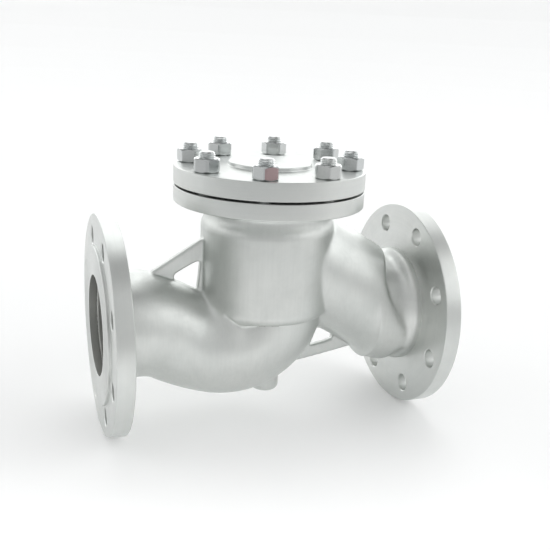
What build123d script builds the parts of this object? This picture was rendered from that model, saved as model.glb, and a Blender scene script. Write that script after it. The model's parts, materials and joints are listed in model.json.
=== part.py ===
from build123d import *
import os
from math import sin, cos, tan, atan, asin, radians

# Flanged lift check valve, straight pattern (globe body), DN100 / PN16.
# Frame: origin at the centre of the inlet raised face, +X along the pipe
# towards the outlet, +Z up towards the bolted cover.  Millimetres.

# ---------------------------------------------------------------- pipe ends
face_to_face = 350.0          # EN 558 basic series 1, DN100
flange_r = 110.0              # flange outside diameter 220
rim_t = 17.0                  # flange rim
raised_r = 79.0               # raised face diameter 158
raised_h = 3.0
bore_r = 50.0                 # nominal bore 100
bolt_pcd_r = 90.0             # bolt circle 180
bolt_hole_r = 9.0             # 18 mm holes for M16 studs
bolt_count = 8
bolt_start = 22.5             # holes straddle the centre lines
edge_c = 1.0                  # rim chamfer
in_hub_fillet = 6.0           # fillets between the back of each flange and its hub
out_hub_fillet = 9.0

# ---------------------------------------------------------------- casting
neck_x = 175.0                # axis of the neck and cover
hub_tube_r = 54.0             # inlet tube outside at the flange
out_hub_r = 56.0              # hub of the outlet flange
# inlet tube: distance along the pipe axis from the flange face, outside radius, inside radius
tube_stations = [(26.0, 54.0, 50.0), (36.0, 54.0, 49.2), (48.0, 53.2, 47.6), (61.0, 51.4, 46.0), (75.0, 49.8, 44.2),
                 (90.0, 49.6, 43.8), (105.0, 51.3, 45.2), (119.0, 53.8, 47.6), (128.0, 54.8, 48.8), (135.0, 55.0, 49.0)]
bowl_r, bowl_in_r = 55.0, 49.0
pass_r = 49.0                 # outlet passage inside
out_tube_r = 55.0             # outlet tube outside
dip = 27.5                    # how far the inlet tube dips below the pipe axis
dip_run = 100.0               # length of the S bend that makes the dip
dip_x0 = 26.0                 # where the S bend starts
bowl_x, bowl_z = 135.0, 21.0  # centre of the elbow that turns up to the seat
rise_deg = 30.0               # slope of the outlet tube
rise_foot = 311.6             # where the sloping axis meets the pipe axis
rise_bend_r = 60.0
rise_start = 205.0
neck_r = 68.0                 # neck outside
neck_bore_r = 60.0
neck_z0 = 5.0                 # underside of the neck
deck_z0, deck_z1 = 0.0, 12.0  # wall that carries the seat
bridge_r = 66.0               # curtain wall between inlet passage and neck bore

# ---------------------------------------------------------------- cover joint
cover_r = 96.0                # body flange and cover diameter 192
body_flange_z0, body_flange_z1 = 120.0, 136.0
cover_z0, cover_z1 = 138.0, 156.0
pad_r, pad_h = 42.0, 4.0      # raised round pad on the cover
recess_r, recess_z = 70.0, 132.5
male_r, male_z = 69.7, 135.5
spigot_r, spigot_z = 59.7, 128.0
hub_r, hub_z = 22.0, 80.5
stud_pcd_r = 80.0             # stud circle 160
stud_r = 7.95                 # M16
tapped_r = 8.0
cover_hole_r = 9.0
stud_top = 175.0
nut_af, nut_h = 24.0, 13.0
nut_bore_r = 8.0
# how far each nut happened to be turned when tight, degrees about +Z
nut_turn = [41.5, 35.5, 9.5, 37.5, 16.0, 7.0, 10.0, 32.0]

# ---------------------------------------------------------------- trim
seat_top = 14.0
seat_bore_r = 45.0
seat_face_r0, seat_face_r1 = 46.5, 53.0
disc_r = 55.0
disc_top = 28.0
collar_r, collar_top = 18.5, 54.5
stem_r, stem_top = 12.0, 100.0
seal_r0, seal_r1 = 44.1, 52.9
bush_r0, bush_r1, bush_top = 12.05, 16.0, 118.0
washer_r0, washer_r1, washer_t = 19.0, 32.0, 2.5
spring_mean_r, spring_wire_r, spring_turns = 26.5, 2.0, 7.5

os.makedirs("parts", exist_ok=True)
neck_axis = Axis((neck_x, 0, 0), (0, 0, 1))


def dip_at(x):
    """Depth and slope of the inlet tube's axis at a distance x from the flange face."""
    turn = 2 * atan(dip / dip_run)
    bend_r = dip_run / 2 / sin(turn)
    if x <= dip_x0:
        return 0.0, 0.0
    if x <= dip_x0 + dip_run / 2:
        a = asin((x - dip_x0) / bend_r)
        return -bend_r * (1 - cos(a)), a
    if x < dip_x0 + dip_run:
        a = asin((dip_x0 + dip_run - x) / bend_r)
        return -dip + bend_r * (1 - cos(a)), a
    return -dip, 0.0


def tube_plane(x):
    """Plane square to the inlet tube's axis."""
    z, a = dip_at(x)
    return Plane(origin=(x, 0, z), x_dir=(0, 1, 0), z_dir=(cos(a), 0, -sin(a)))


def rise_path(end_x):
    """Axis of the outlet tube: down the slope, one bend, level to the flange."""
    a = radians(rise_deg)
    run = (rise_foot - rise_start) / cos(a)
    setback = rise_bend_r * tan(a / 2)
    z_start = run * sin(a)
    with BuildLine(Plane.XZ) as path:
        slope = Line((rise_start, z_start), (rise_foot - setback * cos(a), setback * sin(a)))
        bend = JernArc(start=slope @ 1, tangent=slope % 1, radius=rise_bend_r, arc_size=rise_deg)
        Line(bend @ 1, (end_x, 0))
    return path.line


def rise_plane():
    a = radians(rise_deg)
    z_start = (rise_foot - rise_start) * tan(a)
    return Plane(origin=(rise_start, 0, z_start), x_dir=(0, 1, 0), z_dir=(cos(a), 0, -sin(a)))


# ================================================================ passages
# Space below the seat: inlet bore, S bend, and the elbow under the deck.
with BuildPart() as inlet_passage:
    with BuildSketch(Plane.YZ.offset(-1)):
        Circle(bore_r)
    extrude(amount=tube_stations[0][0] + 1)
    for x, r_out, r_in in tube_stations:
        with BuildSketch(tube_plane(x)):
            Circle(r_in)
    loft()
    with BuildSketch(Plane.YZ.offset(bowl_x)):
        with Locations((0, -dip)):
            Circle(bowl_in_r)
        with Locations((0, bowl_z + 100)):
            Rectangle(400, 200, mode=Mode.SUBTRACT)
    revolve(axis=Axis((bowl_x, 0, bowl_z), (0, -1, 0)), revolution_arc=90)
    # the deck and its curtain wall stay solid
    with BuildSketch(Plane.XZ):
        with BuildLine():
            c = 10.0
            Polyline((neck_x, deck_z0), (neck_x + bridge_r - c, deck_z0))
            ThreePointArc((neck_x + bridge_r - c, deck_z0),
                          (neck_x + bridge_r - c + c * sin(radians(45)), deck_z0 + c - c * cos(radians(45))),
                          (neck_x + bridge_r, deck_z0 + c))
            Polyline((neck_x + bridge_r, deck_z0 + c), (neck_x + bridge_r, 90), (neck_x, 90), (neck_x, deck_z0))
        make_face()
    revolve(axis=neck_axis, mode=Mode.SUBTRACT)

# Space above the seat: neck bore and the sloping passage to the outlet.
with BuildPart() as outlet_passage:
    with BuildSketch(rise_plane()):
        Circle(pass_r)
    sweep(path=rise_path(327.0))
    # sloping floor from the deck edge down into the outlet
    with BuildSketch(Plane.XZ):
        with BuildLine():
            Polyline((neck_x + 10, deck_z1), (neck_x + neck_bore_r - 1, deck_z1), (neck_x + 106, -40),
                     (neck_x + 106, -90), (neck_x + 10, -90), (neck_x + 10, deck_z1))
        make_face()
    extrude(amount=80, both=True, mode=Mode.SUBTRACT)
    with BuildSketch(Plane.YZ.offset(325)):
        Circle(bore_r)
    extrude(amount=face_to_face - 325 + 1)
    with BuildSketch(Plane.XY.offset(deck_z1)):
        with Locations((neck_x, 0)):
            Circle(neck_bore_r)
    extrude(amount=body_flange_z1 + 1 - deck_z1)

# ================================================================ body casting
with BuildPart() as body_casting:
    # both pipe flanges with their raised faces and hub fillets
    for mirrored in (False, True):
        def fx(v):
            return face_to_face - v if mirrored else v
        with BuildSketch(Plane.XZ):
            with BuildLine():
                t = raised_h + rim_t
                r0 = out_hub_r if mirrored else hub_tube_r
                f = out_hub_fillet if mirrored else in_hub_fillet
                end = 37.0 if mirrored else dip_x0
                q = radians(45)
                Polyline((fx(0), 0), (fx(0), raised_r - 0.5), (fx(0.5), raised_r), (fx(raised_h), raised_r),
                         (fx(raised_h), flange_r - edge_c), (fx(raised_h + edge_c), flange_r),
                         (fx(t - edge_c), flange_r), (fx(t), flange_r - edge_c), (fx(t), r0 + f))
                ThreePointArc((fx(t), r0 + f), (fx(t + f - f * cos(q)), r0 + f - f * sin(q)), (fx(t + f), r0))
                if end > t + f:
                    Line((fx(t + f), r0), (fx(end), r0))
                Polyline((fx(end), r0), (fx(end), 0), (fx(0), 0))
            make_face()
        revolve(axis=Axis.X)
    # inlet tube with its S bend
    for x, r_out, r_in in tube_stations:
        with BuildSketch(tube_plane(x)):
            Circle(r_out)
    loft()
    # bowl: outer half of the elbow that turns up under the seat
    with BuildSketch(Plane.YZ.offset(bowl_x)):
        with Locations((0, -dip)):
            Circle(bowl_r)
        with Locations((0, bowl_z + 100)):
            Rectangle(400, 200, mode=Mode.SUBTRACT)
    revolve(axis=Axis((bowl_x, 0, bowl_z), (0, -1, 0)), revolution_arc=90)
    # sloping outlet tube
    with BuildSketch(rise_plane()):
        Circle(out_tube_r)
    sweep(path=rise_path(face_to_face - 18))
    # neck with rounded foot, shoulder and cover flange
    with BuildSketch(Plane.XZ):
        with BuildLine():
            f = 8.0
            Polyline((neck_x, neck_z0), (neck_x + neck_r - f, neck_z0))
            ThreePointArc((neck_x + neck_r - f, neck_z0),
                          (neck_x + neck_r - f + f * sin(radians(45)), neck_z0 + f - f * cos(radians(45))),
                          (neck_x + neck_r, neck_z0 + f))
            Line((neck_x + neck_r, neck_z0 + f), (neck_x + neck_r, 95))
            Spline((neck_x + neck_r, 95), (neck_x + 66.6, 100.5), (neck_x + 64.0, 105.0),
                   (neck_x + 63.4, 111.5), (neck_x + 65.5, 117.0), (neck_x + 71.0, 120.0),
                   tangents=((0, 1), (1, 0.1)))
            Polyline((neck_x + 71.0, body_flange_z0), (neck_x + cover_r - edge_c, body_flange_z0),
                     (neck_x + cover_r, body_flange_z0 + edge_c), (neck_x + cover_r, body_flange_z1 - edge_c),
                     (neck_x + cover_r - edge_c, body_flange_z1), (neck_x, body_flange_z1), (neck_x, neck_z0))
        make_face()
    revolve(axis=neck_axis)
    # left web, between the inlet tube and the neck, with its window
    with BuildSketch(Plane.XZ):
        with BuildLine():
            Polyline((55.2, 52), (106.8, 84.1), (113, 84.1), (113, 15), (95, 15), (55.2, 30), (55.2, 52))
        make_face()
        with BuildLine():
            Polyline((77.4, 48.6), (77.4, 41), (101.5, 30), (104.5, 61.3), (100.6, 61.3), (77.4, 48.6))
        make_face(mode=Mode.SUBTRACT)
    extrude(amount=4, both=True)
    # right web, between the bowl and the outlet tube, with its window
    with BuildSketch(Plane.XZ):
        with BuildLine():
            Polyline((213.2, -59.5), (238.8, -54.2), (280.4, -48.2), (283, -38), (262, -10), (235, 10),
                     (213, -10), (213.2, -59.5))
        make_face()
        with BuildLine():
            Polyline((239.0, -10.0), (257.0, -27.5), (253.9, -32.2), (250.5, -33.6), (230.9, -36.8), (239.0, -10.0))
        make_face(mode=Mode.SUBTRACT)
    extrude(amount=4, both=True)
    # drain boss under the bowl
    with BuildSketch(Plane.XZ):
        with BuildLine():
            Polyline((179, -86), (189, -86))
            ThreePointArc((189, -86), (189 + 5 * sin(radians(45)), -81 - 5 * cos(radians(45))), (194, -81))
            Polyline((194, -81), (194, -50), (179, -50), (179, -86))
        make_face()
    revolve(axis=Axis((179, 0, 0), (0, 0, 1)))
    # flow passages
    add(inlet_passage.part, mode=Mode.SUBTRACT)
    add(outlet_passage.part, mode=Mode.SUBTRACT)
    # hole and counterbore for the seat ring
    with BuildSketch(Plane.XY.offset(deck_z0 - 4)):
        with Locations((neck_x, 0)):
            Circle(bore_r)
    extrude(amount=20, mode=Mode.SUBTRACT)
    with BuildSketch(Plane.XY.offset(5)):
        with Locations((neck_x, 0)):
            Circle(54.0)
    extrude(amount=12, mode=Mode.SUBTRACT)
    # recess for the cover gasket
    with BuildSketch(Plane.XY.offset(recess_z)):
        with Locations((neck_x, 0)):
            Circle(recess_r)
    extrude(amount=6, mode=Mode.SUBTRACT)
    # tapped holes for the cover studs
    with BuildSketch(Plane.XY.offset(body_flange_z0 - 1)):
        with Locations((neck_x, 0)):
            with PolarLocations(stud_pcd_r, 8, start_angle=22.5):
                Circle(tapped_r)
    extrude(amount=body_flange_z1 - body_flange_z0 + 2, mode=Mode.SUBTRACT)
    # bolt holes in both pipe flanges
    for x0 in (1.0, face_to_face - raised_h - rim_t - 1.0):
        with BuildSketch(Plane.YZ.offset(x0)):
            with PolarLocations(bolt_pcd_r, bolt_count, start_angle=bolt_start):
                Circle(bolt_hole_r)
        extrude(amount=rim_t + raised_h, mode=Mode.SUBTRACT)
body_casting.part.label = "body_casting"
export_step(body_casting.part, "parts/body_casting.step")

# ================================================================ seat ring
with BuildPart() as seat_ring:
    with BuildSketch(Plane.XZ):
        with BuildLine():
            x = neck_x
            Polyline((x + seat_bore_r, -2), (x + bore_r - 0.05, -2), (x + bore_r - 0.05, 5), (x + 53.95, 5),
                     (x + 53.95, 13), (x + seat_face_r1, seat_top), (x + seat_face_r0, seat_top),
                     (x + seat_bore_r, 12.5), (x + seat_bore_r, -2))
        make_face()
    revolve(axis=neck_axis)
seat_ring.part.label = "seat_ring"
export_step(seat_ring.part, "parts/seat_ring.step")

# ================================================================ disc assembly
with BuildPart() as disc:
    with BuildSketch(Plane.XZ):
        with BuildLine():
            x = neck_x
            Polyline((x, 18), (x + seal_r1 + 0.1, 18), (x + seal_r1 + 0.1, 14.5), (x + disc_r - 0.7, 14.5),
                     (x + disc_r, 15.2), (x + disc_r, 26), (x + disc_r - 2, disc_top), (x + collar_r, disc_top),
                     (x + collar_r, collar_top - 1), (x + collar_r - 1, collar_top), (x + stem_r, collar_top),
                     (x + stem_r, stem_top - 1.5), (x + stem_r - 1.5, stem_top), (x, stem_top), (x, 18))
        make_face()
    revolve(axis=neck_axis)
    # blind tapped hole for the retainer screw
    with BuildSketch(Plane.XY.offset(18)):
        with Locations((neck_x, 0)):
            Circle(5.05)
    extrude(amount=17, mode=Mode.SUBTRACT)
disc.part.label = "disc"
export_step(disc.part, "parts/disc.step")

with BuildPart() as disc_seal_ring:
    with BuildSketch(Plane.XZ):
        with BuildLine():
            x = neck_x
            Polyline((x + seal_r0, seat_top), (x + seal_r1, seat_top), (x + seal_r1, 18), (x + seal_r0, 18),
                     (x + seal_r0, seat_top))
        make_face()
    revolve(axis=neck_axis)
disc_seal_ring.part.label = "disc_seal_ring"
export_step(disc_seal_ring.part, "parts/disc_seal_ring.step")

with BuildPart() as seal_retainer:
    with BuildSketch(Plane.XZ):
        with BuildLine():
            x = neck_x
            Polyline((x + 5.1, 12), (x + 42.9, 12), (x + 43.9, 13), (x + 43.9, 18), (x + 5.1, 18), (x + 5.1, 12))
        make_face()
    revolve(axis=neck_axis)
seal_retainer.part.label = "seal_retainer"
export_step(seal_retainer.part, "parts/seal_retainer.step")

with BuildPart() as retainer_screw:
    with BuildSketch(Plane.XY.offset(12)):
        with Locations((neck_x, 0)):
            RegularPolygon(radius=8.0, side_count=6, major_radius=False)
    extrude(amount=-6.4)
    chamfer(retainer_screw.faces().sort_by(Axis.Z)[0].edges(), length=0.8)
    with BuildSketch(Plane.XY.offset(12)):
        with Locations((neck_x, 0)):
            Circle(5.0)
    extrude(amount=20)
    chamfer(retainer_screw.faces().sort_by(Axis.Z)[-1].edges(), length=0.8)
retainer_screw.part.label = "retainer_screw"
export_step(retainer_screw.part, "parts/retainer_screw.step")

# ================================================================ spring and its washer
with BuildPart() as spring_seat_washer:
    with BuildSketch(Plane.XY.offset(disc_top)):
        with Locations((neck_x, 0)):
            Circle(washer_r1)
            Circle(washer_r0, mode=Mode.SUBTRACT)
    extrude(amount=washer_t)
spring_seat_washer.part.label = "spring_seat_washer"
export_step(spring_seat_washer.part, "parts/spring_seat_washer.step")

spring_z0, spring_z1 = disc_top + washer_t, spigot_z
with BuildPart() as return_spring:
    with BuildLine() as coil:
        Helix(pitch=(spring_z1 - spring_z0 - 1.0) / spring_turns, height=spring_z1 - spring_z0 - 1.0,
              radius=spring_mean_r, center=(neck_x, 0, spring_z0 + 0.5))
    with BuildSketch(Plane(origin=coil.line @ 0, z_dir=coil.line % 0)):
        Circle(spring_wire_r)
    sweep(path=coil.line, is_frenet=True)
    # ground ends
    for low, high in ((spring_z0 - 8, spring_z0), (spring_z1, spring_z1 + 8)):
        with BuildSketch(Plane.XY.offset(low)):
            with Locations((neck_x, 0)):
                Circle(40)
        extrude(amount=high - low, mode=Mode.SUBTRACT)
return_spring.part.label = "return_spring"
export_step(return_spring.part, "parts/return_spring.step")

# ================================================================ cover, bush, gasket
with BuildPart() as cover:
    with BuildSketch(Plane.XZ):
        with BuildLine():
            x = neck_x
            Polyline((x, 132), (x + 13, 132), (x + 13, bush_top), (x + bush_r1 + 0.03, bush_top),
                     (x + bush_r1 + 0.03, hub_z), (x + hub_r - 1, hub_z), (x + hub_r, hub_z + 1),
                     (x + hub_r, spigot_z), (x + spigot_r - 1, spigot_z), (x + spigot_r, spigot_z + 1),
                     (x + spigot_r, male_z), (x + male_r, male_z), (x + male_r, cover_z0),
                     (x + cover_r - edge_c, cover_z0), (x + cover_r, cover_z0 + edge_c),
                     (x + cover_r, cover_z1 - edge_c), (x + cover_r - edge_c, cover_z1),
                     (x + pad_r + 0.8, cover_z1), (x + pad_r - 0.2, cover_z1 + pad_h - 1.2),
                     (x + pad_r - 1.4, cover_z1 + pad_h), (x, cover_z1 + pad_h), (x, 132))
        make_face()
    revolve(axis=neck_axis)
    with BuildSketch(Plane.XY.offset(cover_z0 - 1)):
        with Locations((neck_x, 0)):
            with PolarLocations(stud_pcd_r, 8, start_angle=22.5):
                Circle(cover_hole_r)
    extrude(amount=cover_z1 - cover_z0 + 2, mode=Mode.SUBTRACT)
    # vent holes above the guide bush
    with BuildSketch(Plane.XZ):
        with Locations((neck_x, 123)):
            Circle(2.5)
    extrude(amount=24, both=True, mode=Mode.SUBTRACT)
cover.part.label = "cover"
export_step(cover.part, "parts/cover.step")

with BuildPart() as guide_bush:
    with BuildSketch(Plane.XY.offset(hub_z)):
        with Locations((neck_x, 0)):
            Circle(bush_r1)
            Circle(bush_r0, mode=Mode.SUBTRACT)
    extrude(amount=bush_top - hub_z)
guide_bush.part.label = "guide_bush"
export_step(guide_bush.part, "parts/guide_bush.step")

with BuildPart() as gasket_winding:
    with BuildSketch(Plane.XY.offset(recess_z)):
        with Locations((neck_x, 0)):
            Circle(69.5)
            Circle(63.5, mode=Mode.SUBTRACT)
    extrude(amount=male_z - recess_z)
gasket_winding.part.label = "gasket_winding"
export_step(gasket_winding.part, "parts/gasket_winding.step")

with BuildPart() as gasket_inner_ring:
    with BuildSketch(Plane.XY.offset(recess_z)):
        with Locations((neck_x, 0)):
            Circle(63.5)
            Circle(61.0, mode=Mode.SUBTRACT)
    extrude(amount=male_z - recess_z)
gasket_inner_ring.part.label = "gasket_inner_ring"
export_step(gasket_inner_ring.part, "parts/gasket_inner_ring.step")

# ================================================================ cover studs and nuts
for i in range(8):
    a = radians(22.5 + 45 * i)
    cx, cy = neck_x + stud_pcd_r * cos(a), stud_pcd_r * sin(a)

    with BuildPart() as cover_stud:
        with BuildSketch(Plane.XY.offset(body_flange_z0)):
            with Locations((cx, cy)):
                Circle(stud_r)
        extrude(amount=stud_top - body_flange_z0)
        chamfer(cover_stud.edges().group_by(Axis.Z)[-1], length=1.5)
        chamfer(cover_stud.edges().group_by(Axis.Z)[0], length=1.0)
    name = "cover_stud_%d" % (i + 1)
    cover_stud.part.label = name
    export_step(cover_stud.part, "parts/%s.step" % name)

    with BuildPart() as cover_nut:
        with BuildSketch(Plane.XY.offset(cover_z1)):
            with Locations((cx, cy)):
                RegularPolygon(radius=nut_af / 2, side_count=6, major_radius=False, rotation=nut_turn[i])
        extrude(amount=nut_h)
        # both ends turned to a 30 degree cone that rounds the corners off
        with BuildSketch(Plane(origin=(cx, cy, 0), x_dir=(1, 0, 0), z_dir=(0, -1, 0))):
            with BuildLine():
                rc = nut_af / 3 ** 0.5
                dz = (rc + 1 - (nut_af / 2 - 0.3)) * tan(radians(30))
                Polyline((0, cover_z1), (nut_af / 2 - 0.3, cover_z1), (rc + 1, cover_z1 + dz),
                         (rc + 1, cover_z1 + nut_h - dz), (nut_af / 2 - 0.3, cover_z1 + nut_h),
                         (0, cover_z1 + nut_h), (0, cover_z1))
            make_face()
        revolve(axis=Axis((cx, cy, 0), (0, 0, 1)), mode=Mode.INTERSECT)
        with BuildSketch(Plane.XY.offset(cover_z1)):
            with Locations((cx, cy)):
                Circle(nut_bore_r)
        extrude(amount=nut_h, mode=Mode.SUBTRACT)
    name = "cover_nut_%d" % (i + 1)
    cover_nut.part.label = name
    export_step(cover_nut.part, "parts/%s.step" % name)
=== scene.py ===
import json
import math

import bmesh
import bpy
import numpy as np
from mathutils import Matrix, Vector


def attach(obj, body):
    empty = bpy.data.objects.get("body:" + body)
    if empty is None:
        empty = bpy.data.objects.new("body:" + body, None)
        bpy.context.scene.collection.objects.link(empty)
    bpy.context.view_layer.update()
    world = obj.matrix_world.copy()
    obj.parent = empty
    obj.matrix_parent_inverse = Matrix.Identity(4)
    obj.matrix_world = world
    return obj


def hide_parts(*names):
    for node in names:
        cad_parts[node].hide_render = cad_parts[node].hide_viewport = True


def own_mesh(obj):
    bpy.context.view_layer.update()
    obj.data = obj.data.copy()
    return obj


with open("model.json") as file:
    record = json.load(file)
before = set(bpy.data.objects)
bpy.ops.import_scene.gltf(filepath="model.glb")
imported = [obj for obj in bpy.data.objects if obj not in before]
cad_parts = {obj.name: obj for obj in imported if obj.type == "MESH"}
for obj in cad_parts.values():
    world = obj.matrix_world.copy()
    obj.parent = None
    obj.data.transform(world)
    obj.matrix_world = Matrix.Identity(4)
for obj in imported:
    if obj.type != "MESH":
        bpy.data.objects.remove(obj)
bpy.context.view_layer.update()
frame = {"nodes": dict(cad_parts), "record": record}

# Flanged lift check valve.  Shapes are worked out in millimetres in the row
# frame and written to the meshes in metres.
nodes = frame["nodes"]
NX = 175.0                     # axis of the neck and cover
FTF = 350.0                    # face to face


# ------------------------------------------------------------------ helpers
def new_object(name, verts_mm, faces, smooth=True):
    me = bpy.data.meshes.new(name)
    v = np.asarray(verts_mm, float) * 0.001
    me.from_pydata([tuple(p) for p in v], [], [tuple(int(i) for i in f) for f in faces])
    me.validate()
    me.update()
    if smooth:
        me.polygons.foreach_set("use_smooth", [True] * len(me.polygons))
    ob = bpy.data.objects.new(name, me)
    bpy.context.scene.collection.objects.link(ob)
    return ob


def grid_object(name, verts_mm, quads):
    """Quick mesh from numpy arrays: verts (n, 3) in mm, quads (m, 4)."""
    me = bpy.data.meshes.new(name)
    n, m = len(verts_mm), len(quads)
    me.vertices.add(n)
    me.vertices.foreach_set("co", (np.asarray(verts_mm, np.float32) * 0.001).ravel())
    me.loops.add(4 * m)
    me.loops.foreach_set("vertex_index", np.asarray(quads, np.int32).ravel())
    me.polygons.add(m)
    me.polygons.foreach_set("loop_start", np.arange(0, 4 * m, 4, dtype=np.int32))
    me.polygons.foreach_set("loop_total", np.full(m, 4, np.int32))
    me.update(calc_edges=True)
    me.validate()
    me.polygons.foreach_set("use_smooth", np.ones(m, bool))
    ob = bpy.data.objects.new(name, me)
    bpy.context.scene.collection.objects.link(ob)
    return ob


def round_profile(pts, radii, steps=3):
    """Polyline with its corners rounded; radii holds one radius per point."""
    out = []
    n = len(pts)
    for i in range(n):
        p, r = np.array(pts[i], float), radii[i]
        if r <= 0:
            out.append(tuple(p))
            continue
        a = np.array(pts[i - 1], float) - p
        b = np.array(pts[(i + 1) % n], float) - p
        la, lb = np.linalg.norm(a), np.linalg.norm(b)
        a, b = a / la, b / lb
        ang = math.acos(max(-1, min(1, float(a @ b))))
        d = min(r / math.tan(ang / 2), 0.49 * la, 0.49 * lb)
        rr = d * math.tan(ang / 2)
        c = p + (a + b) / np.linalg.norm(a + b) * (rr / math.sin(ang / 2))
        s, e = p + a * d - c, p + b * d - c
        sweep = math.pi - ang
        cr = s[0] * e[1] - s[1] * e[0]
        for k in range(steps + 1):
            t = sweep * k / steps * (1 if cr > 0 else -1)
            out.append((c[0] + s[0] * math.cos(t) - s[1] * math.sin(t),
                        c[1] + s[0] * math.sin(t) + s[1] * math.cos(t)))
    return out


def lathe(name, profile, axis, segs=192, centre=(0.0, 0.0), closed=True):
    """Turned solid. profile is (along, radius) in mm; axis X turns about the pipe, Z about the neck."""
    prof = list(profile)
    rings, verts, quads, tris = [], [], [], []
    for a, r in prof:
        if r < 1e-6:
            rings.append([len(verts)] * segs)
            p = (a, 0.0, 0.0) if axis == "X" else (centre[0], centre[1], a)
            verts.append(p)
            continue
        ring = []
        for k in range(segs):
            t = 2 * math.pi * k / segs
            c, s = math.cos(t), math.sin(t)
            p = (a, r * c, r * s) if axis == "X" else (centre[0] + r * c, centre[1] + r * s, a)
            ring.append(len(verts))
            verts.append(p)
        rings.append(ring)
    pairs = list(zip(rings, rings[1:] + rings[:1])) if closed else list(zip(rings, rings[1:]))
    faces = []
    for A, B in pairs:
        pa, pb = A[0] == A[1], B[0] == B[1]
        if pa and pb:
            continue
        for k in range(segs):
            j = (k + 1) % segs
            f = [A[k], A[j], B[j], B[k]]
            f = [q for i, q in enumerate(f) if q != f[i - 1]]
            faces.append(f)
    ob = new_object(name, verts, faces)
    bm = bmesh.new()
    bm.from_mesh(ob.data)
    bmesh.ops.recalc_face_normals(bm, faces=bm.faces)
    bm.to_mesh(ob.data)
    bm.free()
    return ob


def cut(ob, cutters):
    """Subtracts the cutters, which are then removed."""
    for c in cutters:
        m = ob.modifiers.new("cut", "BOOLEAN")
        m.operation = "DIFFERENCE"
        m.solver = "EXACT"
        m.object = c
    dg = bpy.context.evaluated_depsgraph_get()
    me = bpy.data.meshes.new_from_object(ob.evaluated_get(dg))
    ob.modifiers.clear()
    old = ob.data
    ob.data = me
    bpy.data.meshes.remove(old)
    for c in cutters:
        d = c.data
        bpy.data.objects.remove(c)
        bpy.data.meshes.remove(d)
    return ob


def sharp_by_angle(ob, deg):
    """Smooth faces with sharp edges above an angle, so flats stay flat."""
    me = ob.data
    bm = bmesh.new()
    bm.from_mesh(me)
    lim = math.radians(deg)
    for f in bm.faces:
        f.smooth = True
    for e in bm.edges:
        if len(e.link_faces) == 2:
            e.smooth = e.calc_face_angle(0.0) < lim
    bm.to_mesh(me)
    bm.free()


def weighted(ob):
    m = ob.modifiers.new("normals", "WEIGHTED_NORMAL")
    m.keep_sharp = True
    m.weight = 80
    return ob


# ------------------------------------------------------------------ cast skin
# The casting is one smooth form: a signed distance built from its tubes, bowl,
# neck, webs and boss, blended with casting fillets, with the flow passages
# taken out.  Its surface is meshed on a grid and every vertex is then moved
# onto the exact form.
PITCH = 1.5


def polyline_table(path, x0, x1, z0, z1, step=1.0):
    """Signed distance in XZ from a path, and where along the path the nearest point is."""
    path = np.asarray(path, float)
    xs = np.arange(x0, x1 + step, step)
    zs = np.arange(z0, z1 + step, step)
    A, B = path[:-1], path[1:]
    AB = B - A
    L2 = (AB ** 2).sum(1)
    seg = np.sqrt(L2)
    cum = np.concatenate([[0], np.cumsum(seg)])
    D = np.empty((len(xs), len(zs)))
    S = np.empty_like(D)
    for i, x in enumerate(xs):
        P = np.stack([np.full(len(zs), x), zs], 1)
        PA = P[:, None] - A[None]
        t = np.clip((PA * AB[None]).sum(2) / L2[None], 0, 1)
        d = PA - t[..., None] * AB[None]
        dd = (d ** 2).sum(2)
        k = dd.argmin(1)
        r = np.arange(len(zs))
        side = AB[k, 0] * PA[r, k, 1] - AB[k, 1] * PA[r, k, 0]
        D[i] = np.sqrt(dd[r, k]) * np.where(side < 0, -1.0, 1.0)
        S[i] = cum[k] + t[r, k] * seg[k]
    return (x0, z0, step, D, S)


def look(tab, which, x, z):
    x0, z0, step, D, S = tab
    T = D if which == 0 else S
    fx = np.clip((x - x0) / step, 0, T.shape[0] - 1.001)
    fz = np.clip((z - z0) / step, 0, T.shape[1] - 1.001)
    i, j = fx.astype(int), fz.astype(int)
    u, v = fx - i, fz - j
    return (T[i, j] * (1 - u) * (1 - v) + T[i + 1, j] * u * (1 - v)
            + T[i, j + 1] * (1 - u) * v + T[i + 1, j + 1] * u * v)


def smin(a, b, k):
    h = np.maximum(k - np.abs(a - b), 0.0) / k
    return np.minimum(a, b) - h * h * h * k / 6.0


def smax(a, b, k):
    return -smin(-a, -b, k)


def corner(u, v, r):
    """Rounded outside corner of radius r: solid where u<0 and v<0, both already shrunk by r."""
    return np.hypot(np.maximum(u, 0), np.maximum(v, 0)) + np.minimum(np.maximum(u, v), 0) - r


def convex(x, z, pts, k):
    """Convex polygon with softened corners, points in either order."""
    pts = np.asarray(pts, float)
    c = pts.mean(0)
    d = None
    for a, b in zip(pts, np.roll(pts, -1, 0)):
        e = b - a
        n = np.array([e[1], -e[0]]) / np.hypot(*e)
        if n @ (c - a) > 0:
            n = -n
        h = (x - a[0]) * n[0] + (z - a[1]) * n[1]
        d = h if d is None else smax(d, h, k)
    return d


DIP, DIP_RUN, DIP_X0 = 27.5, 100.0, 26.0
turn = 2 * math.atan(DIP / DIP_RUN)
bend = DIP_RUN / 2 / math.sin(turn)


def dip_at(x):
    if x <= DIP_X0:
        return 0.0
    if x <= DIP_X0 + DIP_RUN / 2:
        return -bend * (1 - math.cos(math.asin((x - DIP_X0) / bend)))
    if x < DIP_X0 + DIP_RUN:
        return -DIP + bend * (1 - math.cos(math.asin((DIP_X0 + DIP_RUN - x) / bend)))
    return -DIP


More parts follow.
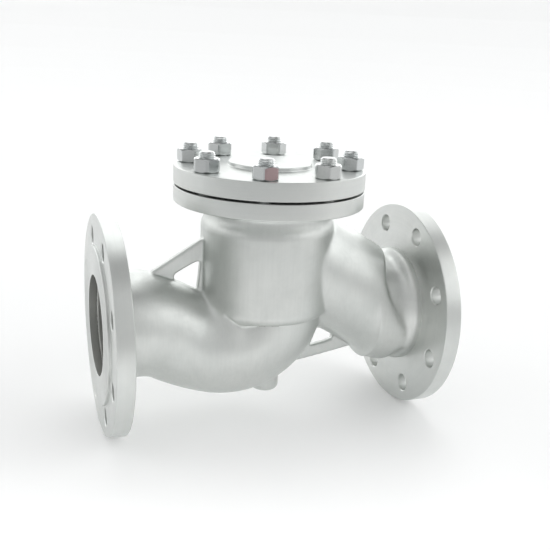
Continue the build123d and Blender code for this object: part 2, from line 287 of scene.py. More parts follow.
in_path = [(x, dip_at(x)) for x in np.arange(-10.0, 151.0, 1.0)]
RISE, FOOT, RB = math.radians(30.0), 311.6, 60.0
setb = RB * math.tan(RISE / 2)
out_path = [(200.0 + 1.0 * i, (FOOT - 200.0 - i) * math.tan(RISE)) for i in range(0, 200)
            if 200.0 + i < FOOT - setb * math.cos(RISE)]
for i in range(0, 33):
    a = RISE * i / 32
    out_path.append((FOOT + setb - RB * math.sin(RISE - a), RB * (1 - math.cos(RISE - a))))
out_path += [(x, 0.0) for x in np.arange(FOOT + setb + 1, 372.0, 2.0)]

X0, X1, Y0, Y1, Z0, Z1 = -12.0, 362.0, -76.0, 76.0, -92.0, 140.0
T_in = polyline_table(in_path, X0, X1, Z0, Z1)
T_out = polyline_table(out_path, X0, X1, Z0, Z1)

st = np.array([(0.0, 54.0, 50.0), (26.0, 54.0, 50.0), (36.0, 54.0, 49.2), (48.0, 53.2, 47.6), (61.0, 51.4, 46.0),
               (75.0, 49.8, 44.2), (90.0, 49.6, 43.8), (105.0, 51.3, 45.2), (119.0, 53.8, 47.6), (128.0, 54.8, 48.8),
               (135.0, 55.0, 49.0), (160.0, 55.0, 49.0)])
ip = np.array(in_path)
ip_s = np.concatenate([[0], np.cumsum(np.hypot(*np.diff(ip, axis=0).T))])
fine = np.arange(-10, 151, 0.5)
ker = np.exp(-0.5 * (np.arange(-12, 13) / 6.0) ** 2)
ker /= ker.sum()


def smooth_radius(col):
    r = np.interp(fine, st[:, 0], st[:, col])
    rp = np.convolve(np.pad(r, 12, mode="edge"), ker, mode="valid")
    return np.interp(ip_s, np.interp(fine, ip[:, 0], ip_s), rp)


R_out, R_in = smooth_radius(1), smooth_radius(2)

# shoulder of the neck, a radius for each height
sh = np.array([(0, 68.0), (90, 68.0), (95, 68.0), (98, 67.4), (100.5, 66.6), (105, 64.4), (108, 63.6), (111.5, 63.4),
               (114.5, 64.2), (117, 65.9), (118.8, 68.0), (120, 71.0), (140, 71.0)])
zf = np.arange(0, 140, 0.5)
k3 = np.exp(-0.5 * (np.arange(-6, 7) / 1.8) ** 2)
k3 /= k3.sum()
rf = np.convolve(np.pad(np.interp(zf, sh[:, 0], sh[:, 1]), 6, mode="edge"), k3, mode="valid")

# where the sloping tube ends and the level outlet hub shows, for each height
cap_z = np.array([-60.0, -40.0, -31.0, -20.0, -12.0, 0.0, 17.0, 28.0, 40.0, 50.0, 58.0, 64.0, 70.0, 90.0])
cap_x = np.array([305.0, 309.0, 314.0, 312.5, 309.0, 303.5, 297.5, 295.0, 293.5, 295.5, 299.0, 303.0, 306.0, 308.0])

# the level hub swells to a rounded ridge beside the outlet flange
hub_x = np.arange(280.0, 346.0, 0.25)
k1 = np.exp(-0.5 * (np.arange(-12, 13) / 4.0) ** 2)
k1 /= k1.sum()
hub_r = np.convolve(np.pad(np.interp(hub_x, [286, 306, 312, 316, 319, 321.5, 324, 326.5, 329, 345],
                                     [54.2, 54.4, 55.0, 56.4, 58.6, 60.7, 61.9, 62.1, 61.7, 61.5]),
                           12, mode="edge"), k1, mode="valid")

L_WEB = [(55.2, 52), (106.8, 84.1), (113, 84.1), (113, 15), (95, 15), (55.2, 30)]
L_WIN = [(77.4, 48.6), (77.4, 41), (101.5, 30), (104.5, 61.3), (100.6, 61.3)]
R_WEB = [(213.2, -59.5), (238.8, -54.2), (280.4, -48.2), (283, -38), (262, -10), (235, 10), (213, -10)]
R_WIN = [(239.3, -13.8), (256.6, -29.8), (255.0, -36.4), (251.0, -38.2), (228.6, -42.0)]
# a short crease where the inlet tube runs out over the bowl
CREASE = np.array([(118.6, 40.0, 15.4), (121.5, 42.8, 13.0), (126.0, 45.4, 9.9), (130.4, 45.9, 6.6), (135.4, 46.4, 3.0)])


def outlet_tube(x, y, z):
    """Sloping tube that ends in a rounded shoulder, and the level hub of its flange."""
    ax = (FOOT - x) * math.sin(RISE) - z * math.cos(RISE)        # distance from the straight sloping axis
    o = np.maximum(np.hypot(y, ax) - 55.0, 205.0 - x)
    o = smax(o, (x - np.interp(z, cap_z, cap_x)) * 0.97, 9.0)
    r = np.hypot(y, z)
    hub = np.maximum((r - np.interp(x, hub_x, hub_r)) * 0.92, 288.0 - x)
    return smin(o, hub, 6.5 + 19.0 * np.clip((24.0 - z) / 38.0, 0.0, 1.0))


def crease(x, y, z):
    best = None
    for i, (a, b) in enumerate(zip(CREASE[:-1], CREASE[1:])):
        e = b - a
        px, py, pz = x - a[0], np.abs(y) - a[1], z - a[2]
        t = np.clip((px * e[0] + py * e[1] + pz * e[2]) / (e @ e), 0.0, 1.0)
        d2 = (px - t * e[0]) ** 2 + (py - t * e[1]) ** 2 + (pz - t * e[2]) ** 2
        fade = t if i == 0 else 1.0 if i < len(CREASE) - 2 else 1.0 - t
        g = 1.5 * fade * np.exp(-d2 / 3.8)
        best = g if best is None else np.maximum(best, g)
    return best


def outer(x, y, z):
    q = np.hypot(x - NX, y)
    # inlet tube
    r1 = np.interp(look(T_in, 1, x, z), ip_s, R_out)
    d = np.hypot(y, look(T_in, 0, x, z)) - r1
    # bowl
    rho = np.hypot(x - 135.0, z - 21.0)
    d = np.where(x < 135.0, d, np.maximum(np.hypot(y, rho - 48.5) - 55.0, z - 21.0))
    # neck
    n = corner(q - 58.0, 16.5 - z, 10.0) + np.where(z > 16.5, 68.0 - np.interp(z, zf, rf), 0.0)
    n = np.maximum(n, z - 128.0)
    # a wide fillet on top of the inlet tube, a tight one under the foot of the neck
    k = np.clip((160.0 - x) / 32.0, 0.0, 1.0)
    k = 3.6 + 12.0 * k * k * (3.0 - 2.0 * k)
    d = smin(d, n, k) + crease(x, y, z)
    d = smin(d, outlet_tube(x, y, z), 4.5)
    r = np.hypot(y, z)
    # inlet hub fillet
    fil = np.maximum(np.maximum(6.0 - np.hypot(x - 26.0, r - 60.0), x - 26.0), r - 60.0)
    fil = np.where(x < 20.0, np.minimum(fil, r - 60.0), fil)
    d = np.minimum(d, fil)
    # webs with their windows
    w = smax(convex(x, z, L_WEB, 3.0), -convex(x, z, L_WIN, 5.0), 1.6)
    w = smax(w, np.abs(y) - 4.0, 2.4)
    d = smin(d, w, 4.5)
    w = smax(convex(x, z, R_WEB, 4.0), -convex(x, z, R_WIN, 3.0), 1.6)
    w = smax(w, np.abs(y) - 4.0, 2.4)
    d = smin(d, w, 4.5)
    # drain boss
    b = np.maximum(corner(np.hypot(x - 179.0, y) - 10.0, -81.0 - z, 5.0), z + 50.0)
    d = smin(d, b, 5.0)
    return np.maximum(np.maximum(d, 8.0 - x), np.maximum(x - 342.0, z - 128.0))


def inner(x, y, z):
    q = np.hypot(x - NX, y)
    r1 = np.interp(look(T_in, 1, x, z), ip_s, R_in)
    d = np.hypot(y, look(T_in, 0, x, z)) - r1
    rho = np.hypot(x - 135.0, z - 21.0)
    d = np.where(x < 135.0, d, np.maximum(np.hypot(y, rho - 48.5) - 49.0, z - 21.0))
    d = np.maximum(d, -corner(q - 56.0, 10.0 - z, 10.0))
    o = np.hypot(y, look(T_out, 0, x, z)) - 49.0
    o = np.maximum(o, 205.0 - x)
    s = ((x - 234.0) * 52.0 + (z - 12.0) * 47.0) / 70.1
    o = np.maximum(o, np.minimum(-s, 12.0 - z))
    wall = smax(o, outlet_tube(x, y, z) + 5.6, 4.0)
    o = np.where(x > 250.0, wall, o)
    o = np.minimum(o, np.maximum(np.hypot(y, z) - 50.0, 325.0 - x))
    o = np.minimum(o, np.maximum(q - 60.0, 12.0 - z))
    h = np.maximum(np.maximum(q - 50.0, -4.0 - z), z - 16.0)
    c = np.maximum(np.maximum(q - 54.0, 5.0 - z), z - 17.0)
    return np.minimum(np.minimum(d, o), np.minimum(h, c))


def skin(x, y, z):
    return smax(outer(x, y, z), -inner(x, y, z), 0.8)


def surface(field, lo, hi, pitch, steps=4):
    ax = [np.arange(l, h + pitch, pitch) for l, h in zip(lo, hi)]
    nx, ny, nz = [len(a) for a in ax]
    F = np.empty((nx, ny, nz), np.float32)
    Y, Z = np.meshgrid(ax[1], ax[2], indexing="ij")
    for i in range(0, nx, 8):
        X = np.broadcast_to(ax[0][i:i + 8][:, None, None], (len(ax[0][i:i + 8]), ny, nz))
        F[i:i + 8] = field(X, np.broadcast_to(Y, X.shape), np.broadcast_to(Z, X.shape))
    neg = F < 0
    c = np.zeros((nx - 1, ny - 1, nz - 1), np.uint8)
    for a in (0, 1):
        for b in (0, 1):
            for e in (0, 1):
                c += neg[a:nx - 1 + a, b:ny - 1 + b, e:nz - 1 + e]
    act = (c > 0) & (c < 8)
    idx = -np.ones(act.shape, np.int64)
    idx[act] = np.arange(act.sum())
    I, J, K = np.nonzero(act)
    acc = np.zeros((len(I), 3))
    cnt = np.zeros(len(I))
    for d in range(3):
        for a in (0, 1):
            for b in (0, 1):
                o0 = [0, 0, 0]
                o0[(d + 1) % 3], o0[(d + 2) % 3] = a, b
                o1 = list(o0)
                o1[d] = 1
                f0 = F[I + o0[0], J + o0[1], K + o0[2]]
                f1 = F[I + o1[0], J + o1[1], K + o1[2]]
                m = (f0 < 0) != (f1 < 0)
                t = np.where(m, f0 / np.where(m, f0 - f1, 1), 0)
                p = np.array([o0], float) + np.zeros((len(I), 3))
                p[:, d] = t
                acc += p * m[:, None]
                cnt += m
    V = acc / cnt[:, None] + np.stack([I, J, K], 1)
    V = V * pitch + np.array([a[0] for a in ax])
    quads = []
    for d in range(3):
        e, g = (d + 1) % 3, (d + 2) % 3
        sl0 = [slice(None)] * 3
        sl1 = [slice(None)] * 3
        sl0[d], sl1[d] = slice(0, -1), slice(1, None)
        ch = neg[tuple(sl0)] != neg[tuple(sl1)]
        P = np.nonzero(ch)
        P = np.stack(P, 1)
        ok = (P[:, e] > 0) & (P[:, g] > 0) & (P[:, e] < act.shape[e]) & (P[:, g] < act.shape[g])
        P = P[ok]

        def cell(de, dg):
            Q = P.copy()
            Q[:, e] += de
            Q[:, g] += dg
            return idx[Q[:, 0], Q[:, 1], Q[:, 2]]
        q = np.stack([cell(-1, -1), cell(0, -1), cell(0, 0), cell(-1, 0)], 1)
        flip = ~neg[P[:, 0], P[:, 1], P[:, 2]]
        q[flip] = q[flip][:, ::-1]
        quads.append(q)
    quads = np.concatenate(quads)
    start = V.copy()
    h = 0.05
    for _ in range(steps):
        x, y, z = V.T
        f = field(x, y, z)
        g = np.stack([field(x + h, y, z) - field(x - h, y, z), field(x, y + h, z) - field(x, y - h, z),
                      field(x, y, z + h) - field(x, y, z - h)], 1) / (2 * h)
        n2 = np.maximum((g ** 2).sum(1), 0.25)
        step = -(f / n2)[:, None] * g
        ln = np.linalg.norm(step, axis=1, keepdims=True)
        step *= np.minimum(1.0, 0.4 * pitch / np.maximum(ln, 1e-9))
        V = V + step
        off = V - start
        ln = np.linalg.norm(off, axis=1, keepdims=True)
        V = start + off * np.minimum(1.0, 0.9 * pitch / np.maximum(ln, 1e-9))
    return V, quads


V, Q = surface(skin, (5.0, -75.0, -90.0), (345.0, 75.0, 131.0), PITCH)
casting = grid_object("casting_skin", V, Q)
mid = np.empty(3 * len(casting.data.polygons), np.float32)
casting.data.polygons.foreach_get("center", mid)
mid = mid.reshape(-1, 3).astype(float) * 1000.0
inside = (np.abs(inner(*mid.T)) < 0.6).astype(np.int32)     # walls of the flow passages, which take the darker material: painted shade inside the bore
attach(casting, "valve_body")
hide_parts("body_casting")

# ------------------------------------------------------------------ pipe flanges
for side, mirrored in (("inlet", False), ("outlet", True)):
    face = []
    r = 53.0
    while r < 77.0:                                   # fine gasket grooves on the raised face
        face += [(0.0, r), (0.09, r + 0.4)]
        r += 0.8
    prof = [(8.0, 50.0), (0.0, 50.0)] + face + [(0.0, 78.4), (0.6, 79.0), (3.0, 79.0), (3.0, 110.0), (20.0, 110.0),
                                                (20.0, 52.0), (8.0, 52.0)]
    rad = [0, 0.5] + [0] * len(face) + [0.25, 0.25, 0.5, 1.1, 1.1, 0, 0]
    prof = round_profile(prof, rad, 3)
    if mirrored:
        prof = [(FTF - a, b) for a, b in prof]
    flange = lathe(side + "_flange", prof, "X", 192)
    cutters = []
    for k in range(8):
        t = math.radians(22.5 + 45 * k)
        c = lathe("cutter", [(2.0, 0), (2.0, 11.0), (4.0, 9.0), (19.0, 9.0), (21.0, 11.0), (21.0, 0)], "X", 32, closed=False)
        for v in c.data.vertices:
            if mirrored:
                v.co.x = FTF * 0.001 - v.co.x
            v.co.y += 0.09 * math.cos(t)
            v.co.z += 0.09 * math.sin(t)
        bm = bmesh.new()
        bm.from_mesh(c.data)
        bmesh.ops.recalc_face_normals(bm, faces=bm.faces)
        bm.to_mesh(c.data)
        bm.free()
        cutters.append(c)
    cut(flange, cutters)
    sharp_by_angle(flange, 28)
    weighted(flange)
    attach(flange, "valve_body")
    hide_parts("body_casting")

# ------------------------------------------------------------------ body flange and cover
prof = [(120.0, 62.0), (120.0, 96.0), (136.0, 96.0), (136.0, 70.0), (132.5, 70.0), (132.5, 60.0), (128.0, 60.0),
        (128.0, 62.0)]
body_flange = lathe("body_flange", round_profile(prof, [0, 1.4, 1.0, 0.4, 0, 0, 0, 0], 3), "Z", 192, (NX, 0))
cutters = []
for k in range(8):
    t = math.radians(22.5 + 45 * k)
    c = lathe("cutter", [(119.0, 0), (119.0, 9.0), (120.8, 8.0), (135.2, 8.0), (137.0, 9.0), (137.0, 0)], "Z", 32,
              (NX + 80 * math.cos(t), 80 * math.sin(t)), closed=False)
    cutters.append(c)
cut(body_flange, cutters)
sharp_by_angle(body_flange, 28)
weighted(body_flange)
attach(body_flange, "valve_body")
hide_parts("body_casting")

prof = [(132.0, 0.0), (132.0, 13.0), (118.0, 13.0), (118.0, 16.03), (80.5, 16.03), (80.5, 22.0), (128.0, 22.0),
        (128.0, 59.7), (135.5, 59.7), (135.5, 69.7), (138.0, 69.7), (138.0, 96.0), (156.0, 96.0), (156.0, 42.2),
        (160.0, 41.6), (160.0, 0.0)]
rad = [0, 0, 0, 0, 0, 1, 2.5, 1, 0, 0.5, 0, 1.0, 1.3, 1.2, 0.9, 0]
cover = lathe("cover_disc", round_profile(prof, rad, 3), "Z", 192, (NX, 0), closed=False)
cutters = []
for k in range(8):
    t = math.radians(22.5 + 45 * k)
    cx, cy = NX + 80 * math.cos(t), 80 * math.sin(t)
    cutters.append(lathe("cutter", [(136.5, 0), (136.5, 10.2), (138.7, 9.0), (155.2, 9.0), (155.9, 9.4), (155.9, 14.6),
                                    (156.5, 15.0), (156.5, 0)], "Z", 48, (cx, cy), closed=False))
vent = lathe("cutter", [(-26, 0), (-26, 2.5), (26, 2.5), (26, 0)], "Z", 24, (0, 0), closed=False)
for v in vent.data.vertices:
    v.co = Vector((v.co.x + NX * 0.001, v.co.z, v.co.y + 0.123))
bm = bmesh.new()
bm.from_mesh(vent.data)
bmesh.ops.recalc_face_normals(bm, faces=bm.faces)
bm.to_mesh(vent.data)
bm.free()
cutters.append(vent)
cut(cover, cutters)
sharp_by_angle(cover, 28)
weighted(cover)
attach(cover, "valve_body")
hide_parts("cover")


# ------------------------------------------------------------------ studs and nuts
def stud(name, cx, cy, seed):
    segs, pitch_t = 48, 2.0
    z0, z1, zt = 120.0, 175.0, 163.0
    rows = [(z0, 6.9), (z0 + 1.0, 7.9), (z0 + 2, 7.95), (zt - 0.6, 7.95)]
    n = int((z1 - zt) / (pitch_t / 8))
    verts, faces, rings = [], [], []

    def ring(z, rr):
        ids = []
        for k in range(segs):
            t = 2 * math.pi * k / segs
            r = rr(t) if callable(rr) else rr
            ids.append(len(verts))
            verts.append((cx + r * math.cos(t), cy + r * math.sin(t), z))
        rings.append(ids)

    for z, r in rows:
        ring(z, r)
    for i in range(n + 1):
        z = zt + (z1 - zt) * i / n

        def rr(t, z=z):
            ph = ((z / pitch_t) - t / (2 * math.pi) + seed) % 1.0
            tri = abs(ph * 2 - 1)
            depth = min(max((tri - 0.12) / 0.76, 0), 1)
            r = 7.92 - 1.15 * depth
            return min(r, 6.1 + (z1 - z) * 1.0)
        ring(z, rr)
    for A, B in zip(rings, rings[1:]):
        for k in range(segs):
            j = (k + 1) % segs
            faces.append((A[k], A[j], B[j], B[k]))
    for ids, zc, up in ((rings[0], z0, False), (rings[-1], z1, True)):
        inner_ids = []
        for k in range(segs):
            t = 2 * math.pi * k / segs
            inner_ids.append(len(verts))
            verts.append((cx + 3.0 * math.cos(t), cy + 3.0 * math.sin(t), zc + (-0.12 if up else 0.12)))
        cen = len(verts)
        verts.append((cx, cy, zc + (-0.12 if up else 0.12)))
        for k in range(segs):
            j = (k + 1) % segs
            if up:
                faces.append((ids[k], ids[j], inner_ids[j], inner_ids[k]))
                faces.append((inner_ids[k], inner_ids[j], cen))
            else:
                faces.append((ids[j], ids[k], inner_ids[k], inner_ids[j]))
                faces.append((inner_ids[j], inner_ids[k], cen))
    ob = new_object(name, verts, faces)
    sharp_by_angle(ob, 30)
    return ob


def nut(name, cx, cy, turn_deg, shaded_flat=-1):
    """Hexagon nut, chamfered on both faces, with a countersunk plain bore."""
    af, z0, z1 = 12.0, 156.0, 169.0
    per = 16
    segs = 6 * per
    verts, faces, mats = [], [], []
    th0 = math.radians(turn_deg)

    def hexr(k):
        # rounded corner: a soft limit on the radius near each corner
        ph = (k % per) / per * math.pi / 3 - math.pi / 6
        r = af / math.cos(ph)
        lim = 13.45
        return -math.log(math.exp(-r * 9) + math.exp(-lim * 9)) / 9

    def ring(fn, zfn):
        ids = []
        for k in range(segs):
            t = th0 + 2 * math.pi * k / segs
            r = fn(k)
            ids.append(len(verts))
            verts.append((cx + r * math.cos(t), cy + r * math.sin(t), zfn(k)))
        return ids

    rc = 11.35
    tan = 0.80

    def drop(r):
        return max(0.0, r - rc) * tan
    R = []
    # from the bore's lower end, out along the bottom, up the flats, over the top, down the bore
    R.append(ring(lambda k: 8.0, lambda k: z0 + 1.0))
    R.append(ring(lambda k: 8.9, lambda k: z0 + 0.02))
    R.append(ring(lambda k: rc, lambda k: z0 + 0.02))
    R.append(ring(lambda k: min(rc + 0.35, hexr(k)), lambda k: z0 + 0.12))
    R.append(ring(lambda k: hexr(k), lambda k: z0 + 0.12 + drop(hexr(k)) * 0.9))
    R.append(ring(lambda k: hexr(k), lambda k: z0 + 3.6))
    R.append(ring(lambda k: hexr(k), lambda k: z1 - 3.6))
    R.append(ring(lambda k: hexr(k), lambda k: z1 - drop(hexr(k))))
    R.append(ring(lambda k: min(rc + 0.25, hexr(k)), lambda k: z1 - 0.10))
    R.append(ring(lambda k: rc - 0.3, lambda k: z1))
    R.append(ring(lambda k: 9.1, lambda k: z1))
    R.append(ring(lambda k: 8.0, lambda k: z1 - 1.1))
    for i, (A, B) in enumerate(zip(R, R[1:] + R[:1])):
        for k in range(segs):
            j = (k + 1) % segs
            faces.append((A[k], A[j], B[j], B[k]))
            # painted shade: one flat of the chosen nut takes the second material, darker and pinkish
            flat = (k // per) == shaded_flat and 4 <= i <= 6
            mats.append(1 if flat else 0)
    ob = new_object(name, verts, faces)
    for p, m in zip(ob.data.polygons, mats):
        p.material_index = m
    sharp_by_angle(ob, 22)
    return ob


NUT_TURN = [41.5, 35.5, 9.5, 37.5, 16.0, 7.0, 10.0, 32.0]
studs, nuts = [], []
for i in range(8):
    t = math.radians(22.5 + 45 * i)
    cx, cy = NX + 80 * math.cos(t), 80 * math.sin(t)
    s = stud("stud_%d" % (i + 1), cx, cy, 0.37 * i)
    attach(s, "valve_body")
    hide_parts("cover_stud_%d" % (i + 1))
    studs.append(s)
    n = nut("nut_%d" % (i + 1), cx, cy, NUT_TURN[i], shaded_flat=4 if i == 5 else -1)
    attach(n, "valve_body")
    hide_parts("cover_nut_%d" % (i + 1))
    nuts.append(n)


# ------------------------------------------------------------------ materials
class Mat:
    """A small builder for node materials in the object's own coordinates, in metres."""

    def __init__(self, name):
        self.m = bpy.data.materials.new(name)
        self.m.use_nodes = True
        self.t = self.m.node_tree
        self.t.nodes.clear()
        self.out = self.n("ShaderNodeOutputMaterial")
        self.b = self.n("ShaderNodeBsdfPrincipled")
        self.l(self.b.outputs[0], self.out.inputs[0])
        self.co = self.n("ShaderNodeTexCoord").outputs["Object"]

    def n(self, kind, **kw):
        nd = self.t.nodes.new(kind)
        for k, v in kw.items():
            setattr(nd, k, v)
        return nd

    def l(self, a, b):
        self.t.links.new(a, b)

    def put(self, sock, v):
        if isinstance(v, (int, float, tuple)):
            sock.default_value = v
        else:
            self.l(v, sock)

    def math(self, op, a, b=0.0, c=None):
        nd = self.n("ShaderNodeMath", operation=op)
        self.put(nd.inputs[0], a)
        self.put(nd.inputs[1], b)
        if c is not None:
            self.put(nd.inputs[2], c)
        return nd.outputs[0]

    def scaled(self, sx, sy, sz, vec=None):
        nd = self.n("ShaderNodeVectorMath", operation="MULTIPLY")
        self.l(vec or self.co, nd.inputs[0])
        nd.inputs[1].default_value = (sx, sy, sz)
        return nd.outputs[0]

    def noise(self, scale, detail=4.0, rough=0.55, vec=None, distortion=0.0):
        nd = self.n("ShaderNodeTexNoise")
        nd.inputs["Scale"].default_value = scale
        nd.inputs["Detail"].default_value = detail
        nd.inputs["Roughness"].default_value = rough
        nd.inputs["Distortion"].default_value = distortion
        self.l(vec or self.co, nd.inputs["Vector"])
        return nd.outputs["Fac"]

    def ramp(self, fac, a, b, va, vb):
        nd = self.n("ShaderNodeMapRange")
        self.put(nd.inputs[0], fac)
        nd.inputs[1].default_value, nd.inputs[2].default_value = a, b
        nd.inputs[3].default_value, nd.inputs[4].default_value = va, vb
        return nd.outputs[0]

    def mix(self, fac, a, b, blend="MIX"):
        nd = self.n("ShaderNodeMix", data_type="RGBA", blend_type=blend)
        self.put(nd.inputs[0], fac)
        for i, v in ((6, a), (7, b)):
            if isinstance(v, tuple):
                nd.inputs[i].default_value = (*v, 1.0)
            else:
                self.l(v, nd.inputs[i])
        return nd.outputs[2]

    def bump(self, height, strength, dist, normal=None):
        nd = self.n("ShaderNodeBump")
        nd.inputs["Strength"].default_value = strength
        nd.inputs["Distance"].default_value = dist
        self.l(height, nd.inputs["Height"])
        if normal is not None:
            self.l(normal, nd.inputs["Normal"])
        return nd.outputs[0]

    def turned(self, axis, centre=(0, 0, 0)):
        """(radius, along) about an axis, so that a noise of it runs round in circles."""
        sub = self.n("ShaderNodeVectorMath", operation="SUBTRACT")
        self.l(self.co, sub.inputs[0])
        sub.inputs[1].default_value = centre
        sep = self.n("ShaderNodeSeparateXYZ")
        self.l(sub.outputs[0], sep.inputs[0])
        a, b, c = (sep.outputs[i] for i in ((1, 2, 0) if axis == "X" else (0, 1, 2)))
        r = self.math("SQRT", self.math("ADD", self.math("MULTIPLY", a, a), self.math("MULTIPLY", b, b)))
        com = self.n("ShaderNodeCombineXYZ")
        self.l(r, com.inputs[0])
        self.l(c, com.inputs[1])
        ang = self.math("ARCTAN2", a, b)
        self.l(self.math("MULTIPLY", ang, 0.0006), com.inputs[2])
        return com.outputs[0]


def steel(name, tone, warm, rough, grain=1.0, ring=None, ring_amt=0.0, blotch=1.0, streak=0.0, metallic=1.0):
    m = Mat(name)
    big = m.noise(9.0, 3.0, 0.5)
    mid = m.noise(38.0, 5.0, 0.6, distortion=0.4)
    col = m.mix(m.ramp(big, 0.35, 0.65, 0.0, 1.0), tone, warm)
    dark = tuple(c * 0.90 for c in tone)
    col = m.mix(m.ramp(mid, 0.42, 0.72, 0.0, 0.45 * blotch), col, dark)
    fine_n = m.noise(620.0, 3.0, 0.65)
    micro = m.noise(2100.0, 2.0, 0.6)
    col = m.mix(m.ramp(fine_n, 0.35, 0.70, 0.0, 0.22 * grain), col, tuple(min(1, c * 1.12) for c in tone))
    rg = m.math("ADD", m.ramp(mid, 0.3, 0.7, rough - 0.04, rough + 0.05), m.ramp(fine_n, 0.3, 0.7, -0.03 * grain, 0.04 * grain))
    height = m.math("ADD", m.math("MULTIPLY", fine_n, 0.65), m.math("MULTIPLY", micro, 0.45))
    nrm = m.bump(height, 0.16 * grain, 0.0004)
    if streak:
        sv = m.noise(1.0, 3.0, 0.6, vec=m.scaled(420.0, 420.0, 26.0))
        rg = m.math("ADD", rg, m.ramp(sv, 0.3, 0.7, -0.05 * streak, 0.05 * streak))
        col = m.mix(m.ramp(sv, 0.35, 0.7, 0.0, 0.10 * streak), col, tuple(c * 0.86 for c in tone))
    if ring is not None:
        rv = m.turned(*ring)
        rn = m.noise(2600.0, 3.0, 0.7, vec=rv)
        rb = m.noise(420.0, 2.0, 0.6, vec=rv)
        nrm = m.bump(rn, 0.22 * ring_amt, 0.0003, nrm)
        rg = m.math("ADD", rg, m.ramp(rb, 0.3, 0.7, -0.05 * ring_amt, 0.05 * ring_amt))
        col = m.mix(m.ramp(rb, 0.35, 0.7, 0.0, 0.16 * ring_amt), col, tuple(c * 0.84 for c in tone))
    m.l(col, m.b.inputs["Base Color"])
    m.b.inputs["Metallic"].default_value = metallic
    m.l(rg, m.b.inputs["Roughness"])
    m.l(nrm, m.b.inputs["Normal"])
    return m.m


cast = steel("cast_stainless", (0.645, 0.667, 0.650), (0.685, 0.698, 0.678), 0.42, 1.0, blotch=1.0, streak=1.0)
flange_mat = steel("machined_flange", (0.64, 0.66, 0.645), (0.68, 0.692, 0.672), 0.36, 0.7, ("X", (0, 0, 0)), 0.6, blotch=0.8)
cover_mat = steel("cover_stainless", (0.64, 0.66, 0.645), (0.68, 0.692, 0.672), 0.34, 0.8, ("Z", (0.175, 0, 0)), 0.6, blotch=0.8)
# painted shade: the passage walls and flange bores get a darker tone than the outside, for the shade inside the bore
bore_shade_mat = steel("cast_passage_painted_shade", (0.43, 0.44, 0.42), (0.49, 0.49, 0.465), 0.46, 1.4, blotch=1.4)
turned_mat = steel("machined_stainless", (0.66, 0.66, 0.65), (0.70, 0.70, 0.68), 0.26, 0.4, ("Z", (0.175, 0, 0)), 1.0, blotch=0.5)
nut_mat = steel("nut_steel", (0.58, 0.60, 0.60), (0.64, 0.65, 0.64), 0.20, 0.5, blotch=0.6, streak=0.6)
# painted shade with a pink tint, for the dark flat of nut 6
flat_shade_mat = steel("nut_tint", (0.40, 0.30, 0.305), (0.47, 0.36, 0.36), 0.30, 0.5, blotch=0.8, streak=0.6)
stud_mat = steel("stud_steel", (0.66, 0.68, 0.68), (0.72, 0.73, 0.72), 0.26, 0.8, blotch=1.0)
fast_mat = steel("fastener_steel", (0.62, 0.62, 0.63), (0.68, 0.68, 0.67), 0.28, 0.6, blotch=0.6)
wire_mat = steel("spring_wire", (0.56, 0.57, 0.58), (0.60, 0.60, 0.60), 0.30, 0.5, blotch=0.8, streak=0.5)
bronze_mat = steel("bronze", (0.62, 0.40, 0.17), (0.70, 0.50, 0.25), 0.32, 0.6, ("Z", (0.175, 0, 0)), 0.8, blotch=1.0)


def gasket_material():
    m = Mat("graphite_winding")
    rv = m.turned("Z", (0.175, 0, 0))
    w = m.noise(1800.0, 1.0, 0.5, vec=rv)
    g = m.noise(900.0, 3.0, 0.6)
    col = m.mix(m.ramp(w, 0.45, 0.55, 0.0, 1.0), (0.035, 0.035, 0.04), (0.16, 0.16, 0.165))
    m.l(col, m.b.inputs["Base Color"])
    m.b.inputs["Metallic"].default_value = 0.3
    m.l(m.ramp(g, 0.3, 0.7, 0.45, 0.65), m.b.inputs["Roughness"])
    m.l(m.bump(w, 0.5, 0.0003, m.bump(g, 0.2, 0.0002)), m.b.inputs["Normal"])
    return m.m


def ptfe_material():
    m = Mat("ptfe")
    g = m.noise(300.0, 3.0, 0.6)
    rv = m.turned("Z", (0.175, 0, 0))
    w = m.noise(2200.0, 2.0, 0.6, vec=rv)
    m.l(m.mix(g, (0.80, 0.80, 0.77), (0.88, 0.88, 0.85)), m.b.inputs["Base Color"])
    m.b.inputs["Metallic"].default_value = 0.0
    m.l(m.ramp(g, 0.3, 0.7, 0.42, 0.55), m.b.inputs["Roughness"])
    m.l(m.bump(w, 0.15, 0.0003), m.b.inputs["Normal"])
    return m.m


def give(ob, *mats):
    ob.data.materials.clear()
    for mt in mats:
        ob.data.materials.append(mt)


give(casting, cast, bore_shade_mat)
casting.data.polygons.foreach_set("material_index", inside)
# the flange bores also take the darker material, painted shade inside the bore
for nm in ("inlet_flange", "outlet_flange"):
    ob = bpy.data.objects[nm]
    give(ob, flange_mat, bore_shade_mat)
    for p in ob.data.polygons:
        p.material_index = 1 if math.hypot(p.center.y, p.center.z) < 0.0504 and 0.0008 < p.center.x < 0.3492 else 0
give(body_flange, cover_mat)
give(cover, cover_mat)
for s in studs:
    give(s, stud_mat)
for i, n in enumerate(nuts):
    keep = [p.material_index for p in n.data.polygons]
    give(n, nut_mat, flat_shade_mat)
    for p, m in zip(n.data.polygons, keep):
        p.material_index = m
slot_mats = {"machined_stainless": turned_mat, "fastener_steel": fast_mat, "spring_wire": wire_mat, "bronze": bronze_mat,
             "graphite_winding": gasket_material(), "ptfe": ptfe_material(), "cast_stainless": cast,
             "cover_stainless": cover_mat, "nut_steel": nut_mat, "stud_steel": stud_mat}
for sp in frame["record"]["subparts"]:
    ob = nodes[sp["node"]]
    give(ob, slot_mats[sp["material_slot"]])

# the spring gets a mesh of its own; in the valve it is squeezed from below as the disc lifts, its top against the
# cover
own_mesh(nodes["return_spring"])

